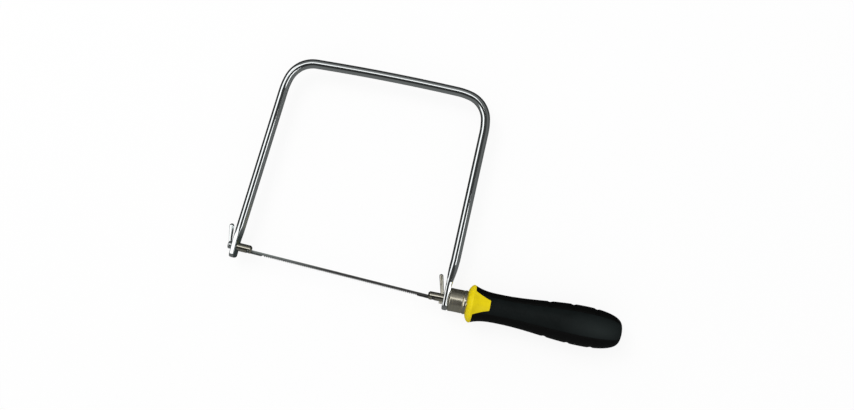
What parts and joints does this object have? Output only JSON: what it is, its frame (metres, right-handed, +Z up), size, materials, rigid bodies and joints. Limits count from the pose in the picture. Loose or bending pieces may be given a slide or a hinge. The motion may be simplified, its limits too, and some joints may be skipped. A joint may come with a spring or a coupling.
{
  "type": "coping saw",
  "caption": "Coping saw with a deep U-shaped round-rod frame, a pinned blade in slotted holders that turn by small levers, and a screw-on two-tone handle that tightens the blade.",
  "frame": {"origin": "Centre of the saw's bounding box, at the level of the lowest point of the handle, with the saw lying on its side.", "axes": "+X along the blade towards the handle, +Y from the blade to the frame's bar, +Z up out of the frame's plane"},
  "size_m": [0.3506, 0.1956, 0.0349],
  "materials": {
    "frame_chrome": "bright plated rod",
    "holder_nickel": "dull nickel plate",
    "blade_steel": "blued spring steel",
    "ferrule_nickel": "satin nickel plate",
    "nut_brass": "turned",
    "yellow_core": "satin moulded",
    "black_rubber": "fine moulded texture"
  },
  "bodies": {
    "frame": {"frame": "frame_chrome"},
    "front_holder": {"front_spindle": "holder_nickel", "front_lever": "holder_nickel"},
    "blade": {"blade": "blade_steel", "front_blade_pin": "blade_steel", "rear_blade_pin": "blade_steel"},
    "rear_holder": {"rear_spindle": "holder_nickel", "rear_lever": "holder_nickel"},
    "ferrule": {"ferrule": "ferrule_nickel"},
    "handle": {"handle_nut": "nut_brass", "handle_core": "yellow_core", "grip_sleeve": "black_rubber"}
  },
  "joints": [
    {"name": "front_turn", "type": "hinge", "parent": "frame", "child": "front_holder", "pos_m": [-0.1545, -0.08262, 0.01745], "axis": [1, 0, 0], "continuous": true},
    {"name": "blade_unhook", "type": "slide", "parent": "front_holder", "child": "blade", "axis": [0, -1, 0], "range_m": [0, 0.012]},
    {"name": "rear_turn", "type": "hinge", "parent": "frame", "child": "rear_holder", "pos_m": [0.0105, -0.08262, 0.01745], "axis": [0.9988, 0.048, 0], "continuous": true},
    {"name": "handle_draw", "type": "slide", "parent": "frame", "child": "ferrule", "axis": [0.9988, 0.048, 0], "range_m": [0, 0.0049]},
    {"name": "handle_turn", "type": "hinge", "parent": "ferrule", "child": "handle", "pos_m": [0.02404, -0.08197, 0.01745], "axis": [0.9988, 0.048, 0], "range_deg": [0, 2160]}
  ],
  "couplings": [
    {"joint": "rear_turn", "follows": "front_turn", "ratio": 1},
    {"joint": "handle_draw", "follows": "handle_turn", "m_per_rad": 0.00012732}
  ]
}
